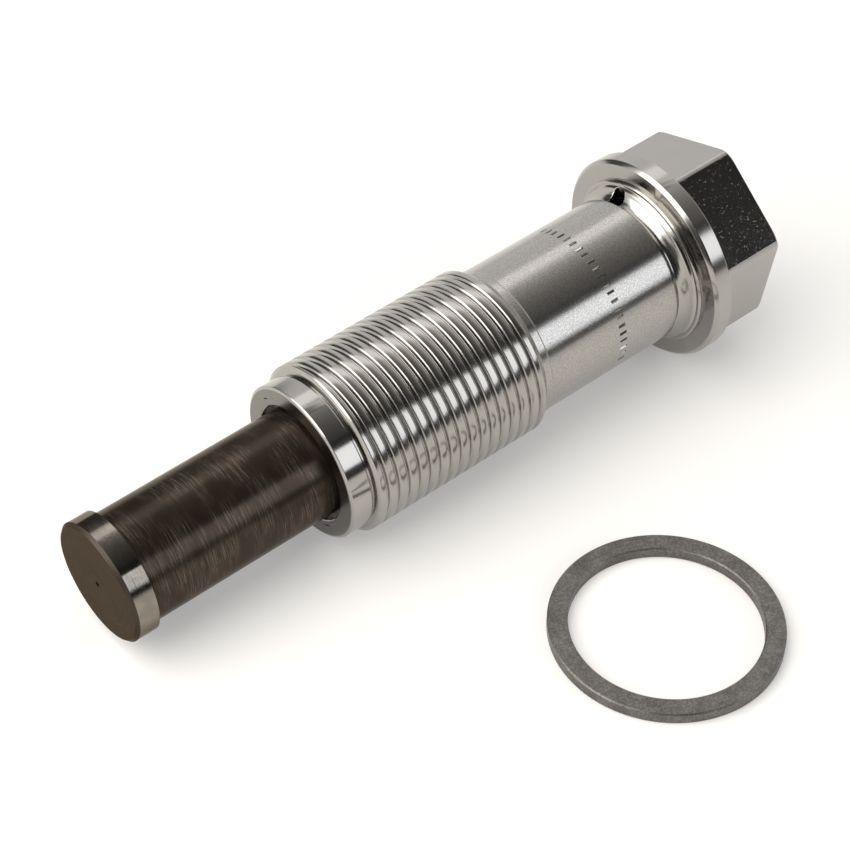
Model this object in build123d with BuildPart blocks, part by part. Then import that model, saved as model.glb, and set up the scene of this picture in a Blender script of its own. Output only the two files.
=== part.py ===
from build123d import *
import math
import os

# Hydraulic timing chain tensioner, lying on its flange and thread beside its seal ring.
# Millimetres, +Z up. The origin is on the axis at the flange's seat face.
# A distance along the axis is counted from the seat face, positive towards the plunger tip.

# Head
across_flats = 22.0
bar_r = 12.56
hex_turn = 19.7
head_back = -11.4
head_chamfer_r = 12.2
flange_r = 13.3
flange_back = -2.6
flange_bevel = 0.45
flange_rim = 0.15
register_r = 10.9
register_h = 0.4

# Neck, barrel and oil hole
neck_r = 9.0
neck_start = 2.1
barrel_r = 9.55
barrel_start = 2.75
oil_hole_r = 1.15
oil_hole_at = 1.75
oil_hole_turn = 109.0

# Thread M22 x 1.5, cut as closed grooves
pitch = 1.5
crest_r = 10.7
groove_depth = 0.52
groove_count = 16
first_groove = 48.3
thread_end = 49.1
runout_band_r = 9.68
runout_band_start = 22.7
runout_start = 23.8
runout_end = 24.85

# Nose and mouth
relief_r = 9.6
relief_start = 49.5
nose_r = 9.8
nose_start = 49.9
nose_face = 52.7
face_r = 8.8
stake_turn = 140.0

# Bores
chamber_r = 5.6
chamber_floor = -2.0
bore_r = 7.4
bore_floor = 3.6
snap_groove_r = 7.9
snap_groove_start = nose_face - 2.55
snap_groove_w = 1.0

# Plunger
shaft_r = 6.8
collar_r = 7.5
collar_len = 3.0
land_r = 7.36
land_end = snap_groove_start
plunger_back = 33.0
tip_face = 80.4
tip_bevel = 0.4
hollow_r = 5.2
tip_wall = 4.0
bleed_r = 0.35

# Filler plug
plug_head_r = 5.12
plug_head_h = 1.5
plug_stem_r = 2.9
plug_stem_len = 30.0
plug_vent_r = 0.5

# Check valve
seat_t = 3.0
boss_r = 2.9
boss_h = 1.2
passage_r = 1.1
ball_r = 1.75
cage_r = 3.35
cage_h = 6.2
cage_wall = 0.45
cage_hole_r = 0.9
window_w = 1.6
window_h = 2.0

# Springs
main_wire_r = 0.6
main_mean_r = 4.4
main_turns = 16
valve_wire_r = 0.15
valve_mean_r = 1.15
valve_turns = 4

# Snap ring and seal ring
snap_wall = 1.0
snap_gap = 2.4
ring_clearance = 0.2
ring_width = 2.35
ring_t = 1.5
ring_rim = 0.15
ring_at = (30.1, 38.1)

# The seal ring slips over the flange's register
ring_inner_r = register_r + ring_clearance
ring_outer_r = ring_inner_r + ring_width

# The tensioner rests on the flange's front edge and the first crest of the thread
flange_edge = -flange_bevel
tilt = math.atan2(flange_r - crest_r, thread_end - flange_edge)
along = Vector(math.cos(tilt), 0, -math.sin(tilt))
floor_z = -flange_edge * math.sin(tilt) - flange_r * math.cos(tilt)
axis_line = Axis((0, 0, 0), along)
section = Plane(origin=(0, 0, 0), x_dir=along, z_dir=(0, -1, 0))


def across(u):
    """A plane square to the axis, at a distance from the seat face."""
    return Plane(origin=along * u, x_dir=(0, 1, 0), z_dir=along)


def turned(points):
    """Revolve a closed outline of (distance, radius) points round the axis."""
    with BuildSketch(section) as profile:
        with BuildLine():
            Polyline(*points, close=True)
        make_face()
    revolve(profile.sketch, axis=axis_line)


def radial(turn):
    """The direction square to the axis at an angle from +Y towards the top."""
    return section.y_dir * math.sin(math.radians(turn)) + Vector(0, 1, 0) * math.cos(math.radians(turn))


def coil(mean_r, wire_r, turns, start, end):
    """A helical wire between two stations, swept round the axis in short straight steps."""
    steps = turns * 12
    path_points = []
    for i in range(steps + 1):
        turn = 360 * turns * i / steps
        u = start + wire_r + (end - start - 2 * wire_r) * i / steps
        path_points.append(along * u + radial(turn) * mean_r)
    with BuildLine() as path:
        Polyline(*path_points)
    first = (path_points[1] - path_points[0]).normalized()
    with BuildSketch(Plane(origin=path_points[0], z_dir=first, x_dir=radial(0))) as wire:
        RegularPolygon(wire_r, 6)
    sweep(wire.sketch, path=path.line, transition=Transition.RIGHT)


# Housing
neck_flare = [(register_h + 0.2, 10.45), (register_h + 0.75, 9.75), (register_h + 1.25, 9.25), (neck_start, neck_r)]
outline = [(head_back, 0), (head_back, head_chamfer_r)]
outline += [(head_back + (bar_r - head_chamfer_r) * math.tan(math.radians(30)), bar_r)]
outline += [(flange_back, bar_r), (flange_back, flange_r - flange_rim), (flange_back + flange_rim, flange_r)]
outline += [(flange_edge, flange_r), (0, flange_r - flange_bevel)]
outline += [(0, register_r), (register_h, register_r), (register_h + 0.2, register_r - 0.2)]
outline += neck_flare
outline += [(barrel_start - 0.2, neck_r), (barrel_start, barrel_r - 0.25), (barrel_start + 0.25, barrel_r)]
outline += [(runout_band_start, barrel_r), (runout_band_start + 0.15, runout_band_r)]
outline += [(runout_start, runout_band_r), (runout_end, crest_r)]
groove_half = groove_depth * math.tan(math.radians(30))
for i in reversed(range(groove_count)):
    u = first_groove - i * pitch
    outline += [(u - groove_half, crest_r), (u, crest_r - groove_depth), (u + groove_half, crest_r)]
outline += [(thread_end, crest_r), (relief_start - 0.1, crest_r - 0.5), (relief_start, relief_r)]
outline += [(nose_start, relief_r), (nose_start + 0.05, nose_r), (nose_face - 0.5, nose_r), (nose_face, face_r)]
outline += [(nose_face, bore_r + 0.15), (nose_face - 0.15, bore_r)]
outline += [(snap_groove_start + snap_groove_w, bore_r), (snap_groove_start + snap_groove_w, snap_groove_r)]
outline += [(snap_groove_start, snap_groove_r), (snap_groove_start, bore_r)]
outline += [(bore_floor, bore_r), (bore_floor, chamber_r), (chamber_floor, chamber_r), (chamber_floor, 0)]

with BuildPart() as housing:
    turned(outline)
    # Six flats on the head
    with BuildSketch(across(head_back)):
        Circle(bar_r + 3)
        RegularPolygon(across_flats / 2, 6, major_radius=False, rotation=hex_turn, mode=Mode.SUBTRACT)
    extrude(amount=flange_back - head_back, mode=Mode.SUBTRACT)
    # Radial oil hole through the neck into the supply chamber
    out = radial(oil_hole_turn)
    hole_base = along * oil_hole_at + out * (chamber_r - 1.5)
    with BuildSketch(Plane(origin=hole_base, x_dir=along, z_dir=out)):
        Circle(oil_hole_r)
    extrude(amount=6, mode=Mode.SUBTRACT)
    # Stake marks at the mouth
    with BuildSketch(across(nose_face)):
        with PolarLocations(bore_r + 0.6, 2, start_angle=stake_turn):
            SlotOverall(1.5, 0.4, rotation=90)
    extrude(amount=-0.25, mode=Mode.SUBTRACT)

# Plunger, hollow from the back
tip_inside = tip_face - tip_wall
collar_back = tip_face - collar_len
with BuildPart() as plunger:
    turned([
        (tip_face, bleed_r), (tip_face, collar_r - tip_bevel), (tip_face - tip_bevel, collar_r),
        (collar_back, collar_r), (collar_back - 0.35, shaft_r), (land_end, shaft_r),
        (land_end, land_r - 0.1), (land_end - 0.1, land_r), (plunger_back + 0.4, land_r),
        (plunger_back, land_r - 0.4), (plunger_back, hollow_r), (tip_inside, hollow_r), (tip_inside, bleed_r),
    ])

# Filler plug, clamped against the inside of the tip by the main spring
plug_under = tip_inside - plug_head_h
with BuildPart() as filler_plug:
    turned([
        (tip_inside, plug_vent_r), (tip_inside, plug_head_r), (plug_under, plug_head_r),
        (plug_under, plug_stem_r), (plug_under - plug_stem_len + 0.5, plug_stem_r),
        (plug_under - plug_stem_len, plug_stem_r - 0.5), (plug_under - plug_stem_len, plug_vent_r),
    ])

# Check valve seat, pressed on to the shoulder of the bore
seat_top = bore_floor + seat_t
boss_top = seat_top + boss_h
cone_top_r = 1.5
cone_depth = 0.5
with BuildPart() as valve_seat:
    turned([
        (bore_floor, passage_r), (bore_floor, bore_r), (seat_top, bore_r), (seat_top, boss_r),
        (boss_top, boss_r), (boss_top, cone_top_r), (boss_top - cone_depth, passage_r),
    ])

# Check ball, resting on the seat's cone
cone_slope = math.atan2(cone_top_r - passage_r, cone_depth)
ball_u = boss_top - cone_depth - passage_r / math.tan(cone_slope) + ball_r / math.sin(cone_slope)
with BuildPart() as check_ball:
    with BuildSketch(section) as half_disc:
        with BuildLine():
            ThreePointArc((ball_u - ball_r, 0), (ball_u, ball_r), (ball_u + ball_r, 0))
            Line((ball_u + ball_r, 0), (ball_u - ball_r, 0))
        make_face()
    revolve(half_disc.sketch, axis=axis_line)

# Cage over the ball, pressed on to the seat's boss
cage_top = seat_top + cage_h
with BuildPart() as valve_cage:
    turned([
        (seat_top, boss_r), (seat_top, cage_r), (cage_top, cage_r), (cage_top, cage_hole_r),
        (cage_top - cage_wall, cage_hole_r), (cage_top - cage_wall, boss_r),
    ])
    for turn in (0, 90):
        with BuildSketch(Plane(origin=along * (boss_top + 1.6) - radial(turn) * 5, x_dir=along, z_dir=radial(turn))):
            Rectangle(window_h, window_w)
        extrude(amount=10, mode=Mode.SUBTRACT)

# Springs
with BuildPart() as main_spring:
    coil(main_mean_r, main_wire_r, main_turns, seat_top, plug_under)
with BuildPart() as valve_spring:
    coil(valve_mean_r, valve_wire_r, valve_turns, ball_u + math.sqrt(ball_r**2 - valve_mean_r**2), cage_top - cage_wall)

# Snap ring in its groove, with a gap that lets it close
with BuildPart() as snap_ring:
    snap_inner_r = snap_groove_r - snap_wall
    snap_front = snap_groove_start + snap_groove_w
    turned([
        (snap_groove_start, snap_inner_r), (snap_groove_start, snap_groove_r),
        (snap_front, snap_groove_r), (snap_front, snap_inner_r),
    ])
    with BuildSketch(across(snap_groove_start)):
        with Locations((0, snap_groove_r)):
            Rectangle(snap_gap, 4)
    extrude(amount=snap_groove_w, mode=Mode.SUBTRACT)

# Seal ring, lying flat beside the tensioner
with BuildPart() as sealing_ring:
    with BuildSketch(Plane.XY.offset(floor_z)):
        with Locations(ring_at):
            Circle(ring_outer_r)
            Circle(ring_inner_r, mode=Mode.SUBTRACT)
    extrude(amount=ring_t)
    rims = sealing_ring.edges().filter_by(GeomType.CIRCLE)
    chamfer(rims, ring_rim)

# Label and export
os.makedirs("parts", exist_ok=True)
housing.part.label = "housing"
export_step(housing.part, "parts/housing.step")
plunger.part.label = "plunger"
export_step(plunger.part, "parts/plunger.step")
filler_plug.part.label = "filler_plug"
export_step(filler_plug.part, "parts/filler_plug.step")
main_spring.part.label = "main_spring"
export_step(main_spring.part, "parts/main_spring.step")
valve_seat.part.label = "valve_seat"
export_step(valve_seat.part, "parts/valve_seat.step")
check_ball.part.label = "check_ball"
export_step(check_ball.part, "parts/check_ball.step")
valve_spring.part.label = "valve_spring"
export_step(valve_spring.part, "parts/valve_spring.step")
valve_cage.part.label = "valve_cage"
export_step(valve_cage.part, "parts/valve_cage.step")
snap_ring.part.label = "snap_ring"
export_step(snap_ring.part, "parts/snap_ring.step")
sealing_ring.part.label = "sealing_ring"
export_step(sealing_ring.part, "parts/sealing_ring.step")
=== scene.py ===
"""Dresses the timing chain tensioner: materials, remade housing and springs, stage and camera."""
import math

import bmesh
import bpy
from mathutils import Matrix, Vector


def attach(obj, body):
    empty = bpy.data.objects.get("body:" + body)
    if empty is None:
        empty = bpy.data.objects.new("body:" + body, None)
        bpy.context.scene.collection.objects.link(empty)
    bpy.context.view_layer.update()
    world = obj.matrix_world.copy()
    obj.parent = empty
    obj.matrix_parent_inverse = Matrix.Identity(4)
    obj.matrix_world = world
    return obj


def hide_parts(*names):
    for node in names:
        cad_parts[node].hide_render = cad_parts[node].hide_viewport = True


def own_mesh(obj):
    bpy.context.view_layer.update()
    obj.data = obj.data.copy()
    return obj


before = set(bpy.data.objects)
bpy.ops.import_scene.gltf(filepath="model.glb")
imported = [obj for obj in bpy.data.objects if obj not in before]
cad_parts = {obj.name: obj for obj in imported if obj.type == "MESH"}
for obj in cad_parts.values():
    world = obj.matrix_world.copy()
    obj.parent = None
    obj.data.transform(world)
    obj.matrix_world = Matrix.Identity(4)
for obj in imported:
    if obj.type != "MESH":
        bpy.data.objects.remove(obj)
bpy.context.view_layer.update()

# The frame: origin on the axis at the seat face, +X towards the tip, metres. The part rests on the
# flange's front edge and the thread's foremost crest, so its axis drops by this over this span.
REST_DROP = 2.6
REST_SPAN = 49.55
TILT = math.atan2(REST_DROP, REST_SPAN)
ALONG = Vector((math.cos(TILT), 0, -math.sin(TILT)))
UPWARDS = Vector((math.sin(TILT), 0, math.cos(TILT)))
SIDEWAYS = Vector((0, 1, 0))
FLOOR_Z = -0.013258

# The camera, fitted to the photograph. Its focal length is in pixels of the photograph.
CAMERA_AT = (0.17119, 0.16188, 0.19895)
CAMERA_RIGHT = Vector((-0.77448, 0.63233, 0.01848))
CAMERA_DOWN = Vector((0.43125, 0.54913, -0.71588))
CAMERA_SENSOR = 36
FOCAL_LENGTH = 2498
PHOTO_WIDTH = 850
CAMERA_LENS = FOCAL_LENGTH / PHOTO_WIDTH * CAMERA_SENSOR


# Node helpers

def new_material(name):
    material = bpy.data.materials.new(name)
    material.use_nodes = True
    tree = material.node_tree
    shader = tree.nodes["Principled BSDF"]
    return material, tree, shader


def feed(tree, socket, value):
    """Set a socket to a number or colour, or link it to another socket. None leaves it alone."""
    if isinstance(value, bpy.types.NodeSocket):
        tree.links.new(value, socket)
    elif value is not None:
        socket.default_value = value


def calc(tree, operation, a, b=None, c=None):
    node = tree.nodes.new("ShaderNodeMath")
    node.operation = operation
    for socket, value in zip(node.inputs, (a, b, c)):
        feed(tree, socket, value)
    return node.outputs[0]


def dot(tree, a, b):
    node = tree.nodes.new("ShaderNodeVectorMath")
    node.operation = "DOT_PRODUCT"
    feed(tree, node.inputs[0], a)
    feed(tree, node.inputs[1], b)
    return node.outputs["Value"]


def blend(tree, factor, a, b):
    """Mix two colours."""
    node = tree.nodes.new("ShaderNodeMix")
    node.data_type = "RGBA"
    feed(tree, node.inputs[0], factor)
    feed(tree, node.inputs[6], a)
    feed(tree, node.inputs[7], b)
    return node.outputs[2]


def times(tree, a, b):
    """Multiply two colours."""
    node = tree.nodes.new("ShaderNodeVectorMath")
    node.operation = "MULTIPLY"
    feed(tree, node.inputs[0], a)
    feed(tree, node.inputs[1], b)
    return node.outputs["Vector"]


def between(tree, factor, a, b):
    """Mix two numbers."""
    node = tree.nodes.new("ShaderNodeMix")
    feed(tree, node.inputs[0], factor)
    feed(tree, node.inputs[2], a)
    feed(tree, node.inputs[3], b)
    return node.outputs[0]


def step(tree, value, low, high):
    """0 below low, 1 above high, smooth between."""
    node = tree.nodes.new("ShaderNodeMapRange")
    node.interpolation_type = "SMOOTHSTEP"
    feed(tree, node.inputs[0], value)
    node.inputs[1].default_value = low
    node.inputs[2].default_value = high
    return node.outputs[0]


def zone(tree, value, low, high, soft=0.00005):
    """1 between low and high, 0 outside."""
    rise = step(tree, value, low - soft, low + soft)
    fall = step(tree, value, high + soft, high - soft)
    return calc(tree, "MULTIPLY", rise, fall)


def noise(tree, vector, scale=1.0, detail=2.0, roughness=0.5):
    node = tree.nodes.new("ShaderNodeTexNoise")
    feed(tree, node.inputs["Vector"], vector)
    node.inputs["Scale"].default_value = scale
    node.inputs["Detail"].default_value = detail
    node.inputs["Roughness"].default_value = roughness
    return node.outputs["Fac"]


def combine(tree, x, y, z):
    node = tree.nodes.new("ShaderNodeCombineXYZ")
    for socket, value in zip(node.inputs, (x, y, z)):
        feed(tree, socket, value)
    return node.outputs[0]


def ringed_noise(tree, lengthwise, side, top, fine, coarse, detail, roughness=0.5):
    """Noise drawn out round the axis: fine lengthwise and coarse round it."""
    vector = combine(tree, calc(tree, "MULTIPLY", lengthwise, fine),
                     calc(tree, "MULTIPLY", side, coarse),
                     calc(tree, "MULTIPLY", top, coarse))
    return noise(tree, vector, detail=detail, roughness=roughness)


def axis_places(tree):
    """Distance along the axis, radius, sideways and upward parts, and the place itself."""
    place = tree.nodes.new("ShaderNodeTexCoord").outputs["Object"]
    u = dot(tree, place, ALONG)
    side = dot(tree, place, SIDEWAYS)
    top = dot(tree, place, UPWARDS)
    side_2 = calc(tree, "MULTIPLY", side, side)
    radius = calc(tree, "SQRT", calc(tree, "MULTIPLY_ADD", top, top, side_2))
    return u, radius, side, top, place


def bump(tree, shader, height, distance):
    """A surface that stands up by this distance, in metres, where height is 1."""
    node = tree.nodes.new("ShaderNodeBump")
    node.inputs["Strength"].default_value = 1.0
    node.inputs["Distance"].default_value = distance
    feed(tree, node.inputs["Height"], height)
    tree.links.new(node.outputs[0], shader.inputs["Normal"])


# Materials. The finish changes at these distances from the seat face, in metres. A pair given to
# step fades in from its first value to its second, and one given to zone is the span itself.
HEAD = (-0.0024, -0.0028)
FLANGE = (-0.0027, -0.0002)
NECK = (0.0004, 0.0032)
BARREL = (0.0029, 0.0238)
NOSE = (0.0494, 0.0496)
NOSE_FACE = (0.05262, 0.05268)
COLLAR = (0.0773, 0.0775)
TIP_FACE = (0.07993, 0.07998)
# Inside the neck's surface: these two are radii.
DRILLED = (0.00896, 0.0088)

# Base colours. Where there are two, a noise mixes them.
POLISHED_STEEL = (0.355, 0.339, 0.316, 1), (0.395, 0.378, 0.353, 1)
SATIN_STEEL = (0.315, 0.301, 0.282, 1), (0.432, 0.414, 0.390, 1)
# The nose face's darker tone is painted shade, for the shaded floor that the face reflects.
NOSE_FACE_PAINTED_SHADE = (0.20, 0.187, 0.168, 1)
# The near-black tone inside the oil hole is painted shade.
HOLE_PAINTED_SHADE = (0.010, 0.009, 0.008, 1)
BROWNED_STEEL = (0.029, 0.0215, 0.0158, 1), (0.047, 0.0355, 0.0268, 1)
SCRATCHED_STEEL = (0.15, 0.120, 0.096, 1)
GROUND_STEEL = (0.210, 0.187, 0.161, 1), (0.250, 0.224, 0.193, 1)
TIP_STEEL = (0.045, 0.0363, 0.0283, 1), (0.066, 0.0535, 0.042, 1)
RING_ALUMINIUM = (0.132, 0.124, 0.115, 1), (0.196, 0.187, 0.175, 1)
RING_FLECKS = (0.78, 0.78, 0.78, 1), (1.3, 1.29, 1.27, 1)
DARK_PLASTIC = (0.02, 0.02, 0.02, 1), (0.035, 0.035, 0.035, 1)


def turned_steel():
    """Bright machined steel with a satin barrel, fine tool rings and a specked head, and painted
    shade on the nose face and inside the oil hole.
    """
    material, tree, shader = new_material("turned_steel_machined")
    u, radius, side, top, place = axis_places(tree)
    barrel = zone(tree, u, *BARREL)
    head = step(tree, u, *HEAD)
    face = step(tree, u, *NOSE_FACE)
    drilled = calc(tree, "MULTIPLY", zone(tree, u, *NECK), step(tree, radius, *DRILLED))
    rings = ringed_noise(tree, calc(tree, "ADD", u, radius), side, top, 4200.0, 90.0, 4.0, 0.6)
    grain = noise(tree, place, scale=6000.0, detail=2.0, roughness=0.6)
    patches = noise(tree, place, scale=330.0, detail=4.0, roughness=0.6)
    rough = between(tree, barrel, 0.14, 0.17)
    rough = between(tree, step(tree, u, *NOSE), rough, 0.11)
    rough = between(tree, head, rough, 0.08)
    rough = between(tree, zone(tree, u, *FLANGE), rough, 0.16)
    rough = between(tree, face, rough, 0.24)
    rough = between(tree, drilled, rough, 0.5)
    feed(tree, shader.inputs["Roughness"], calc(tree, "MULTIPLY_ADD", patches, 0.04, rough))
    satin = blend(tree, step(tree, grain, 0.35, 0.7), *SATIN_STEEL)
    tone = blend(tree, barrel, blend(tree, patches, *POLISHED_STEEL), satin)
    # The nose face is painted darker: painted shade.
    tone = blend(tree, face, tone, NOSE_FACE_PAINTED_SHADE)
    # Inside the oil hole the tone is near black: painted shade.
    tone = blend(tree, drilled, tone, HOLE_PAINTED_SHADE)
    feed(tree, shader.inputs["Base Color"], tone)
    shader.inputs["Metallic"].default_value = 1.0
    specks = step(tree, noise(tree, place, scale=2700.0, detail=3.0, roughness=0.7), 0.58, 0.74)
    height = between(tree, barrel, rings, grain)
    height = between(tree, head, height, calc(tree, "MULTIPLY", specks, 2.1))
    bump(tree, shader, height, 0.0000016)
    return material


def dark_steel():
    """Browned shaft with fine scratches round it, a ground collar and a matt tip face."""
    material, tree, shader = new_material("dark_steel_shaft")
    u, radius, side, top, place = axis_places(tree)
    scratches = ringed_noise(tree, u, side, top, 7200.0, 330.0, 5.0, 0.68)
    bands = ringed_noise(tree, u, side, top, 420.0, 190.0, 3.0)
    turning = ringed_noise(tree, radius, side, top, 3200.0, 240.0, 4.0, 0.65)
    streaks = calc(tree, "MULTIPLY", step(tree, scratches, 0.44, 0.64),
                   step(tree, bands, 0.38, 0.60))
    clouds = noise(tree, place, scale=190.0, detail=3.0)
    patches = noise(tree, place, scale=520.0, detail=4.0, roughness=0.6)
    collar = step(tree, u, *COLLAR)
    face = step(tree, u, *TIP_FACE)
    shaft_tone = blend(tree, calc(tree, "MULTIPLY", streaks, 0.6),
                       blend(tree, clouds, *BROWNED_STEEL), SCRATCHED_STEEL)
    collar_tone = blend(tree, step(tree, patches, 0.38, 0.62), *GROUND_STEEL)
    face_tone = blend(tree, step(tree, turning, 0.3, 0.7), *TIP_STEEL)
    tone = blend(tree, face, blend(tree, collar, shaft_tone, collar_tone), face_tone)
    feed(tree, shader.inputs["Base Color"], tone)
    feed(tree, shader.inputs["Metallic"], between(tree, collar, 0.7, 1.0))
    shader.inputs["Specular IOR Level"].default_value = 0.3
    shader.inputs["Specular Tint"].default_value = (0.58, 0.53, 0.48, 1)
    rough = calc(tree, "MULTIPLY_ADD", streaks, 0.07, 0.21)
    rough = between(tree, collar, rough, 0.085)
    rough = between(tree, face, rough, 0.42)
    feed(tree, shader.inputs["Roughness"], rough)
    bump(tree, shader, scratches, 0.000012)
    return material


def soft_aluminium():
    """Satin, slightly mottled seal ring."""
    material, tree, shader = new_material("soft_aluminium_satin")
    place = tree.nodes.new("ShaderNodeTexCoord").outputs["Object"]
    grain = noise(tree, place, scale=3800.0, detail=4.0, roughness=0.75)
    patches = noise(tree, place, scale=420.0, detail=5.0, roughness=0.7)
    tone = blend(tree, step(tree, patches, 0.3, 0.7), *RING_ALUMINIUM)
    flecks = blend(tree, step(tree, grain, 0.4, 0.66), *RING_FLECKS)
    feed(tree, shader.inputs["Base Color"], times(tree, tone, flecks))
    shader.inputs["Metallic"].default_value = 1.0
    feed(tree, shader.inputs["Roughness"], calc(tree, "MULTIPLY_ADD", patches, 0.2, 0.36))
    bump(tree, shader, grain, 0.00003)
    return material


def plain_steel(name, colour, rough):
    """Small inner pieces of steel."""
    material, tree, shader = new_material(name)
    place = tree.nodes.new("ShaderNodeTexCoord").outputs["Object"]
    grain = noise(tree, place, scale=6000.0, detail=2.0)
    darker = [0.85 * part for part in colour]
    feed(tree, shader.inputs["Base Color"], blend(tree, grain, [*darker, 1], [*colour, 1]))
    shader.inputs["Metallic"].default_value = 1.0
    feed(tree, shader.inputs["Roughness"], calc(tree, "MULTIPLY_ADD", grain, 0.1, rough))
    bump(tree, shader, grain, 0.000002)
    return material


def moulded_plastic():
    """Dark plastic of the filler plug."""
    material, tree, shader = new_material("moulded_plastic_dark")
    place = tree.nodes.new("ShaderNodeTexCoord").outputs["Object"]
    grain = noise(tree, place, scale=3000.0, detail=3.0)
    feed(tree, shader.inputs["Base Color"], blend(tree, grain, *DARK_PLASTIC))
    feed(tree, shader.inputs["Roughness"], calc(tree, "MULTIPLY_ADD", grain, 0.15, 0.4))
    bump(tree, shader, grain, 0.00001)
    return material


FINISHES = {
    "housing": turned_steel(),
    "plunger": dark_steel(),
    "sealing_ring": soft_aluminium(),
    "filler_plug": moulded_plastic(),
    "main_spring": plain_steel("spring_steel_drawn", (0.30, 0.29, 0.28), 0.28),
    "valve_spring": plain_steel("spring_steel_fine", (0.34, 0.33, 0.32), 0.25),
    "snap_ring": plain_steel("spring_steel_ring", (0.24, 0.23, 0.21), 0.30),
    "valve_seat": plain_steel("turned_steel_seat", (0.48, 0.47, 0.45), 0.20),
    "check_ball": plain_steel("ball_steel_polished", (0.56, 0.55, 0.54), 0.06),
    "valve_cage": plain_steel("pressed_steel_cage", (0.42, 0.41, 0.39), 0.25),
}
for node_name, finish in FINISHES.items():
    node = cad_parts[node_name]
    node.data.materials.clear()
    node.data.materials.append(finish)


# The housing, remade with its real helical thread, eased edges, oil hole, stake marks and ticks.
# Distances and radii are in millimetres, turns in degrees from +Y towards the top.

MM = 0.001
# How far the rounding of an edge reaches along each side, and the angle from which one is sharp.
EASE = 0.045
HOUSING_CREASE = math.radians(38)

# Head
HEAD_BACK = -11.4
BAR_R = 12.56
FLAT_R = 11.0
CHAMFER_R = 12.2
HEX_TURN = 19.7
CORNER_MARGIN = 0.3
FLAT_COLUMNS = 30
# Rows of the hexagon: distance, and how far the row stands out from the plain form.
HEAD_ROWS = [(-11.4, -0.05), (-11.385, -0.015), (-11.35, 0), (-11.19, 0),
             (-2.64, 0), (-2.61, 0.01), (-2.6, 0.04)]

# Thread. The groove's middle is at GROOVE_AT where the turn is GROOVE_TURN, and rows begin at SEAM.
# Its places stay between the first and the last, and its depth fades at both ends.
CREST_R = 10.7
PITCH = 1.5
GROOVES = 16
GROOVE_AT = 25.8
GROOVE_TURN = 40.0
SEAM = -78.0
FIRST_PLACE = 24.93
LAST_PLACE = 48.8
LAST_ROOM = 0.22
FADE_IN_RATE = 10
FADE_OUT_RATE = 3.6
FADE_OUT_TURNS = 0.4

# Oil hole. The cutter reaches from its base to above the neck's surface.
HOLE_AT = 1.75
HOLE_TURN = 109.0
HOLE_R = 1.15
HOLE_RIM_R = 1.2
HOLE_BASE = 4.05
HOLE_OVER = 2.0
NECK_SPAN = (0.61, 2.99)

# Stake marks on the nose face, as (turn, half length in degrees, radius), and their cutter's ends.
STAKES = ((128, 9, 8.4), (-48, 12, 8.05))
STAKE_HALF_WIDTH = 0.1
STAKE_SPAN = (52.55, 53.2)

# Plain ticks round the barrel, slightly uneven as stamped ones are.
TICKS = 22
FIRST_TICK = -15.85
TICK_STEP = 6.55
TICK_SPAN = (11.1, 12.15)
TICK_FLOOR_R = 9.36
TICK_TOP_R = 9.65

# One pitch of the thread: distance from the groove's middle, and depth under the crest.
GROOVE = [(-0.75, 0), (-0.36, 0), (-0.33, 0.01), (-0.305, 0.032), (-0.28, 0.065), (-0.08, 0.345),
          (-0.058, 0.375), (-0.03, 0.395), (0, 0.402), (0.03, 0.395), (0.058, 0.375), (0.08, 0.345),
          (0.28, 0.065), (0.305, 0.032), (0.33, 0.01), (0.36, 0)]

# Outlines as (distance, radius): from the flange to the thread, and on to the bore's end.
REAR = [(-2.6, 12.75), (-2.6, 13.14), (-2.45, 13.29), (-0.45, 13.29), (0, 12.85), (0, 10.9),
        (0.4, 10.9), (0.6, 10.7), (0.6, 10.38), (0.95, 10.22), (1.15, 9.82), (1.4, 9.5),
        (1.65, 9.27), (1.9, 9.1), (2.15, 9.0), (2.55, 9.0), (2.75, 9.3), (3.0, 9.55),
        (22.7, 9.55), (22.85, 9.68), (23.8, 9.68), (24.85, 10.7), (26.0, 10.7)]
FORE = [(48.0, 10.7), (49.1, 10.7), (49.4, 10.2), (49.5, 9.6), (49.9, 9.6), (49.95, 9.8),
        (52.45, 9.8), (52.7, 9.4), (52.7, 7.55), (52.55, 7.4), (51.15, 7.4), (51.15, 7.9),
        (50.15, 7.9), (50.15, 7.4), (3.6, 7.4), (3.6, 5.6), (-2.0, 5.6), (-2.0, 3.0)]


def spot(u, radius, turn):
    """A point in metres."""
    angle = math.radians(turn)
    out = SIDEWAYS * math.cos(angle) + UPWARDS * math.sin(angle)
    return (ALONG * u + out * radius) * MM


def ease_in(value):
    """0 to 1, smooth at both ends."""
    value = min(max(value, 0), 1)
    return value * value * (3 - 2 * value)


def eased(outline):
    """Round each inner corner of an outline with three points, and drop its ends."""
    rows = []
    for before, corner, after in zip(outline, outline[1:], outline[2:]):
        corner = Vector(corner)
        back, on = Vector(before) - corner, Vector(after) - corner
        reach = min(EASE, 0.4 * back.length, 0.4 * on.length)
        first = corner + back.normalized() * reach
        last = corner + on.normalized() * reach
        rows += [first, (first + last) / 4 + corner / 2, last]
    return rows


def column_turns():
    """Turns of the mesh columns: close together at the hexagon's corners, even between them."""
    corner = 30 - math.degrees(math.acos(FLAT_R / BAR_R))
    inside = corner + CORNER_MARGIN
    even = [inside + (60 - 2 * inside) * i / FLAT_COLUMNS for i in range(FLAT_COLUMNS + 1)]
    flat = [0, corner, *even, 60 - corner]
    turns = [HEX_TURN + 60 * k + turn for k in range(6) for turn in flat]
    return sorted(SEAM + (turn - SEAM) % 360 for turn in turns)


def head_rows(turns):
    """The hexagon, from its back face to the flange."""
    rows = []
    flats = [FLAT_R / math.cos(math.radians((turn - HEX_TURN) % 60 - 30)) for turn in turns]
    for u, proud in HEAD_ROWS:
        bar = min(BAR_R, CHAMFER_R + (u - HEAD_BACK) * math.sqrt(3))
        rows.append([(u, min(bar, flat) + proud) for flat in flats])
    return rows


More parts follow.
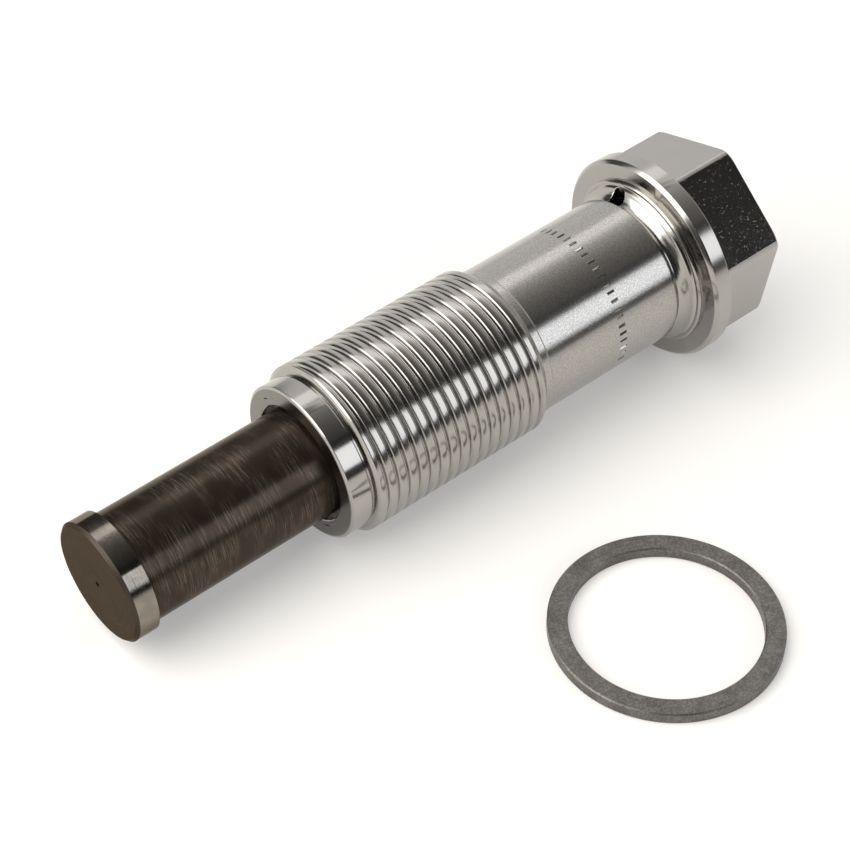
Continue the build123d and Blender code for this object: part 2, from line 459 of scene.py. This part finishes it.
def thread_place(whole, shape, turn):
    """A point of the helical groove, which fades at both ends of the thread."""
    offset, depth = shape
    travelled = whole + (turn - SEAM) / 360
    run_out = ease_in((travelled - GROOVES + FADE_OUT_TURNS) * FADE_OUT_RATE)
    fade = ease_in(travelled * FADE_IN_RATE) * (1 - run_out)
    u = GROOVE_AT + PITCH * (whole + (turn - GROOVE_TURN) / 360) + offset
    u = max(u, FIRST_PLACE)
    if u > LAST_PLACE:
        u = LAST_PLACE + LAST_ROOM * (1 - math.exp((LAST_PLACE - u) / LAST_ROOM))
    return u, CREST_R - depth * fade


def add_row(points, places, turns):
    """Add a row of points and return their numbers."""
    first = len(points)
    points += [spot(*place, turn) for place, turn in zip(places, turns)]
    return list(range(first, len(points)))


def join_rows(faces, lower, upper):
    """Add the four-sided faces between two rows."""
    for i in range(len(lower) - 1):
        faces.append((lower[i], lower[i + 1], upper[i + 1], upper[i]))


def housing_mesh():
    """Rows of points round the axis. The thread is one strip whose seam rises by a pitch."""
    turns = column_turns()
    count = len(turns)
    points, faces = [], []
    rear = [add_row(points, row, turns) for row in head_rows(turns)]
    rear += [add_row(points, [place] * count, turns) for place in eased(REAR)]
    strip = [add_row(points, [thread_place(whole, shape, turn) for turn in turns], turns)
             for whole in range(GROOVES) for shape in GROOVE]
    last = [thread_place(GROOVES, shape, turns[0]) for shape in GROOVE]
    end = add_row(points, last, turns[:1] * len(GROOVE))
    fore = [add_row(points, [place] * count, turns) for place in eased(FORE)]
    for row in rear + fore:
        row.append(row[0])
    starts = [row[0] for row in strip] + end
    for number, row in enumerate(strip):
        row.append(starts[number + len(GROOVE)])
    for rows in (rear, strip, fore):
        for lower, upper in zip(rows, rows[1:]):
            join_rows(faces, lower, upper)
    join_rows(faces, rear[-1][:-1], strip[0][:-1])
    faces.append([*rear[-1][-2:], *starts[:len(GROOVE) + 1], strip[0][-2]])
    faces.append([strip[-1][0], strip[-1][1], fore[0][1], fore[0][0], *reversed(end)])
    join_rows(faces, strip[-1][1:], fore[0][1:])
    faces.append(rear[0][-2::-1])
    faces.append(fore[-1][:-1])
    mesh = bpy.data.meshes.new("housing_turned")
    mesh.from_pydata(points, [], faces)
    return mesh


def add_tube(points, faces, rings):
    """A closed solid through rings of points."""
    rows = []
    for ring in rings:
        rows.append([*range(len(points), len(points) + len(ring)), len(points)])
        points += ring
    for lower, upper in zip(rows, rows[1:]):
        join_rows(faces, lower, upper)
    faces.append(rows[0][-2::-1])
    faces.append(rows[-1][:-1])


def solid_mesh(name, points, faces):
    """A mesh whose faces all look outwards."""
    mesh = bpy.data.meshes.new(name)
    mesh.from_pydata(points, [], faces)
    form = bmesh.new()
    form.from_mesh(mesh)
    bmesh.ops.recalc_face_normals(form, faces=form.faces)
    form.to_mesh(mesh)
    form.free()
    return mesh


def neck_radius(u):
    """The neck's radius round the oil hole."""
    u = min(max(u, NECK_SPAN[0]), NECK_SPAN[1])
    for (start, low), (end, high) in zip(REAR, REAR[1:]):
        if start < u <= end:
            return low + (high - low) * (u - start) / (end - start)


def hole_point(angle, wide, lift):
    """A point of the oil hole's cutter, lifted from the neck's surface, or at the cutter's base."""
    u = HOLE_AT - wide * math.cos(angle)
    sideways = wide * math.sin(angle)
    surface = math.sqrt(neck_radius(u) ** 2 - sideways ** 2)
    height = HOLE_BASE if lift is None else surface + lift
    return spot(u, height, HOLE_TURN) + spot(0, sideways, HOLE_TURN + 90)


def round_angles(count):
    """Angles in radians, even round a circle."""
    return [2 * math.pi * i / count for i in range(count)]


def hole_rings():
    """The oil hole's cutter: straight up to the surface, then slightly wider to ease the edge."""
    return [[hole_point(angle, wide, lift) for angle in round_angles(48)]
            for wide, lift in ((HOLE_R, None), (HOLE_R, -0.05),
                               (HOLE_RIM_R, 0.02), (HOLE_RIM_R, HOLE_OVER))]


def stake_rings(middle, half, radius):
    """The cutter of one stake mark: a narrow oval bent round the mouth."""
    return [[spot(u, radius + STAKE_HALF_WIDTH * math.sin(angle), middle + half * math.cos(angle))
             for angle in round_angles(24)] for u in STAKE_SPAN]


def tick_rings(number):
    """The cutter of one tick: a three-sided bar with its edge downwards."""
    turn = FIRST_TICK + TICK_STEP * number + 0.3 * math.sin(2.4 * number)
    half = 1.65 + 0.25 * math.sin(1.7 * number)
    return [[spot(u, TICK_FLOOR_R, turn), spot(u, TICK_TOP_R, turn + half),
             spot(u, TICK_TOP_R, turn - half)] for u in TICK_SPAN]


def marks_mesh():
    """What is cut from the housing: the oil hole, two stake marks and a row of plain ticks."""
    points, faces = [], []
    add_tube(points, faces, hole_rings())
    for stake in STAKES:
        add_tube(points, faces, stake_rings(*stake))
    for number in range(TICKS):
        add_tube(points, faces, tick_rings(number))
    return solid_mesh("marks", points, faces)


def linked(name, data):
    """A new object in the scene."""
    thing = bpy.data.objects.new(name, data)
    bpy.context.scene.collection.objects.link(thing)
    return thing


def cut_marks(piece):
    """Cut the marks from the housing piece and return its new mesh."""
    marks = linked("marks", marks_mesh())
    cut = piece.modifiers.new("cut", "BOOLEAN")
    cut.operation = "DIFFERENCE"
    cut.solver = "EXACT"
    cut.object = marks
    shaped = piece.evaluated_get(bpy.context.evaluated_depsgraph_get())
    mesh = bpy.data.meshes.new_from_object(shaped)
    piece.modifiers.clear()
    bpy.data.objects.remove(marks)
    return mesh


def make_housing(finish):
    """The housing piece, with its marks cut, smooth but for its sharp edges."""
    piece = linked("housing_turned", housing_mesh())
    mesh = cut_marks(piece)
    piece.data = mesh
    mesh.name = "housing_turned"
    mesh.materials.clear()
    mesh.materials.append(finish)
    mesh.shade_smooth()
    mesh.set_sharp_from_angle(angle=HOUSING_CREASE)
    weigh = piece.modifiers.new("weighted", "WEIGHTED_NORMAL")
    weigh.keep_sharp = True
    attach(piece, "housing")
    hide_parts("housing")


make_housing(FINISHES["housing"])


# The two springs, wound from round wire.
# Places on the axis are in millimetres from the seat face.

SEAT_TOP = 6.6
PLUG_UNDER = 74.9
BALL_REST = 10.1
CAGE_TOP = 12.35
STEPS_PER_TURN = 28
SPRING_CREASE = math.radians(50)


def wire_rings(mean_r, wire_r, turns, start, end):
    """Rings of points round the wire, along the whole spring."""
    rings = []
    steps = turns * STEPS_PER_TURN
    for i in range(steps + 1):
        middle = start + wire_r + (end - start - 2 * wire_r) * i / steps
        turn = 360 * turns * i / steps
        rings.append([spot(middle + wire_r * math.sin(a), mean_r + wire_r * math.cos(a), turn)
                      for a in round_angles(12)])
    return rings


def make_spring(node_name, mean_r, wire_r, turns, start, end):
    """A spring from start to end."""
    points, faces = [], []
    add_tube(points, faces, wire_rings(mean_r, wire_r, turns, start, end))
    mesh = solid_mesh(node_name + "_wound", points, faces)
    mesh.materials.append(FINISHES[node_name])
    mesh.shade_smooth()
    mesh.set_sharp_from_angle(angle=SPRING_CREASE)
    spring = linked(node_name + "_wound", mesh)
    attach(spring, "housing")
    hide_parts(node_name)
    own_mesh(spring)


make_spring("main_spring", 4.4, 0.6, 16, SEAT_TOP, PLUG_UNDER)
make_spring("valve_spring", 1.15, 0.15, 4, BALL_REST, CAGE_TOP)


# Stage: floor, world, lamps, flags and camera. Places are in metres.

WHITE = (1, 1, 1, 1)
FLOOR_COLOUR = (0.755, 0.735, 0.705, 1)
FLOOR_GLOW = 0.2
FLAG_COLOUR = (1.0, 0.975, 0.95, 1)
FLAG_LIMIT = 0.9
ROOM_LIGHT = 0.5


def shows_background(tree):
    """1 for camera, glossy and transmission rays."""
    path = tree.nodes.new("ShaderNodeLightPath")
    seen = calc(tree, "MAXIMUM", path.outputs["Is Camera Ray"], path.outputs["Is Glossy Ray"])
    return calc(tree, "MAXIMUM", seen, path.outputs["Is Transmission Ray"])


def floor_material():
    """A pale matt floor that keeps the shadow and glows a little where it is background."""
    material, tree, shader = new_material("pale_floor")
    tree.nodes.remove(shader)
    diffuse = tree.nodes.new("ShaderNodeBsdfDiffuse")
    diffuse.inputs["Color"].default_value = FLOOR_COLOUR
    glow = tree.nodes.new("ShaderNodeEmission")
    glow.inputs["Color"].default_value = WHITE
    feed(tree, glow.inputs["Strength"], calc(tree, "MULTIPLY", shows_background(tree), FLOOR_GLOW))
    both = tree.nodes.new("ShaderNodeAddShader")
    tree.links.new(diffuse.outputs[0], both.inputs[0])
    tree.links.new(glow.outputs[0], both.inputs[1])
    tree.links.new(both.outputs[0], tree.nodes["Material Output"].inputs["Surface"])
    return material


def panel(name, centre, width_vector, height_vector, material):
    """A flat rectangle on the stage. The two vectors run from its centre to its edges."""
    centre, across, upward = Vector(centre), Vector(width_vector), Vector(height_vector)
    corners = [centre - across - upward, centre + across - upward,
               centre + across + upward, centre - across + upward]
    mesh = bpy.data.meshes.new(name)
    mesh.from_pydata(corners, [], [(0, 1, 2, 3)])
    mesh.materials.append(material)
    card = linked(name, mesh)
    return card


def flag(name, centre, width_vector, height_vector, level, rise=(0, 0)):
    """A dim card that only the metal's reflections see, brighter by these rates along X and Y."""
    material, tree, shader = new_material(name)
    tree.nodes.remove(shader)
    glow = tree.nodes.new("ShaderNodeEmission")
    glow.inputs["Color"].default_value = FLAG_COLOUR
    place = tree.nodes.new("ShaderNodeTexCoord").outputs["Object"]
    power = calc(tree, "EXPONENT", dot(tree, place, (*rise, 0)))
    strength = calc(tree, "MINIMUM", calc(tree, "MULTIPLY", power, level), FLAG_LIMIT)
    feed(tree, glow.inputs["Strength"], strength)
    tree.links.new(glow.outputs[0], tree.nodes["Material Output"].inputs["Surface"])
    card = panel(name, centre, width_vector, height_vector, material)
    card.visible_camera = False
    card.visible_diffuse = False
    card.visible_shadow = False
    card.visible_transmission = False


def lamp(name, centre, across, upward, width, height, radiance, colour):
    """A rectangular soft box that faces the part. Across and upward are its edges' directions."""
    light = bpy.data.lights.new(name, "AREA")
    light.shape = "RECTANGLE"
    light.size = width
    light.size_y = height
    light.energy = radiance * math.pi * width * height
    light.color = colour
    box = linked(name, light)
    across = Vector(across).normalized()
    upward = Vector(upward)
    upward = (upward - upward.dot(across) * across).normalized()
    facing = across.cross(upward)
    if facing.dot(-Vector(centre)) > 0:
        facing = -facing
        across = -across
    turn = Matrix((across, upward, facing)).transposed()
    box.matrix_world = Matrix.Translation(centre) @ turn.to_4x4()
    box.visible_camera = False


panel("floor", (0, 0, FLOOR_Z), (4, 0, 0), (0, 4, 0), floor_material())

world = bpy.data.worlds.new("pale_room")
world.use_nodes = True
bpy.context.scene.world = world
back = world.node_tree.nodes["Background"]
back.inputs["Color"].default_value = WHITE
feed(world.node_tree, back.inputs["Strength"],
     between(world.node_tree, shows_background(world.node_tree), ROOM_LIGHT, 1.0))

# A lamp's radiance is its power over pi and its area. What lies behind a lamp shines through it.
lamp("key_box", (-0.93, 1.0, 0.577), (1, 0, 0), (0, 0, 1),
     width=1.55, height=0.686, radiance=2.2, colour=(0.94, 0.98, 1.04))
lamp("front_box", (0.530, -0.1627, 0.357), (0.76, -0.374, -0.53), (0.34, 0.93, 0),
     width=1.07, height=0.65, radiance=2.7, colour=(1.0, 0.985, 0.95))
lamp("back_box", (-0.7, -0.6, 0.93), (1, 0, 0), (0, -0.3, 1),
     width=1.3, height=1.0, radiance=0.72, colour=(1.0, 0.985, 0.96))

flag("flag_side", (-0.6, 1.1, 0.8), (2.0, 0, 0), (0, 0, 0.81), level=0.04)
flag("flag_top", (-0.9, 0.2, 1.6), (1.7, 0, 0), (0, 0.9, 0), level=0.13, rise=(-1.3, -1.25))
flag("flag_front", (1.4, 0.75, 0.6), (0, 0.45, 0), (0, 0, 0.62), level=0.12)
flag("flag_left", (0.15, -1.1, 0.5), (0.55, 0, 0), (0, 0, 0.52), level=0.10)

view = bpy.data.cameras.new("camera")
view.lens = CAMERA_LENS
view.sensor_width = CAMERA_SENSOR
view.clip_start = 0.01
camera = bpy.data.objects.new("camera", view)
backwards = CAMERA_RIGHT.cross(-CAMERA_DOWN).normalized()
turn = Matrix((CAMERA_RIGHT.normalized(), -CAMERA_DOWN.normalized(), backwards)).transposed()
camera.matrix_world = Matrix.Translation(CAMERA_AT) @ turn.to_4x4()
bpy.context.scene.collection.objects.link(camera)
bpy.context.scene.camera = camera
bpy.context.scene.view_settings.view_transform = "Standard"
